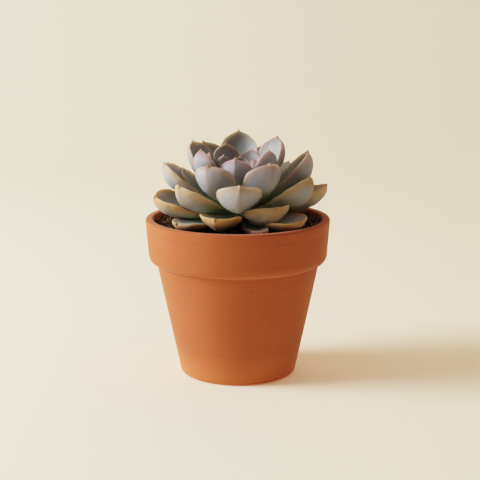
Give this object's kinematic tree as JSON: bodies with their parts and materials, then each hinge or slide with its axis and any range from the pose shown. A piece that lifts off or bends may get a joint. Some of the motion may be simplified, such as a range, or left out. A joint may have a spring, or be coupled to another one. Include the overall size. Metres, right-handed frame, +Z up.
{
  "type": "potted rosette succulent",
  "caption": "Rosette succulent with thick pointed spoon-shaped leaves on a short stem, rooted in soil in a tapered clay pot with a deep collar and a drain hole.",
  "frame": {"origin": "on the pot's axis at the plane the pot stands on", "axes": "+Z up along the pot's axis; -Y is the front, the side that the rosette's broad middle leaf faces"},
  "size_m": [0.11, 0.11, 0.1439],
  "materials": {
    "clay": "unglazed, matt, fine pits and turning lines",
    "soil": "loose dark grains",
    "stem": "matt, green to brown",
    "leaf_old": "waxy, thin pale bloom, tan edges and tips",
    "leaf_grown": "waxy, powdery pale bloom, pink edges",
    "leaf_young": "waxy, powdery bloom, pinkish mauve"
  },
  "bodies": {
    "root": {"pot": "clay", "soil": "soil", "stem": "stem", "leaf_low_1": "leaf_old", "leaf_low_2": "leaf_old", "leaf_low_3": "leaf_old", "leaf_low_4": "leaf_old", "leaf_low_5": "leaf_old", "leaf_low_6": "leaf_old", "leaf_low_7": "leaf_old", "leaf_low_8": "leaf_old", "leaf_outer_1": "leaf_old", "leaf_outer_2": "leaf_old", "leaf_outer_3": "leaf_old", "leaf_outer_4": "leaf_old", "leaf_outer_5": "leaf_old", "leaf_outer_6": "leaf_old", "leaf_outer_7": "leaf_old", "leaf_outer_8": "leaf_old", "leaf_outer_9": "leaf_old", "leaf_middle_1": "leaf_grown", "leaf_middle_2": "leaf_grown", "leaf_middle_3": "leaf_grown", "leaf_middle_4": "leaf_grown", "leaf_middle_5": "leaf_grown", "leaf_middle_6": "leaf_grown", "leaf_upper_1": "leaf_grown", "leaf_upper_2": "leaf_grown", "leaf_upper_3": "leaf_grown", "leaf_upper_4": "leaf_grown", "leaf_upper_5": "leaf_grown", "leaf_upper_6": "leaf_grown", "leaf_upper_7": "leaf_grown", "leaf_upper_8": "leaf_grown", "leaf_inner_1": "leaf_young", "leaf_inner_2": "leaf_young", "leaf_inner_3": "leaf_young", "leaf_inner_4": "leaf_young", "leaf_inner_5": "leaf_young", "leaf_bud_1": "leaf_young", "leaf_bud_2": "leaf_young", "leaf_bud_3": "leaf_young", "leaf_bud_4": "leaf_young", "leaf_bud_5": "leaf_young", "leaf_heart_1": "leaf_young", "leaf_heart_2": "leaf_young", "leaf_heart_3": "leaf_young", "leaf_heart_4": "leaf_young"}
  },
  "joints": []
}
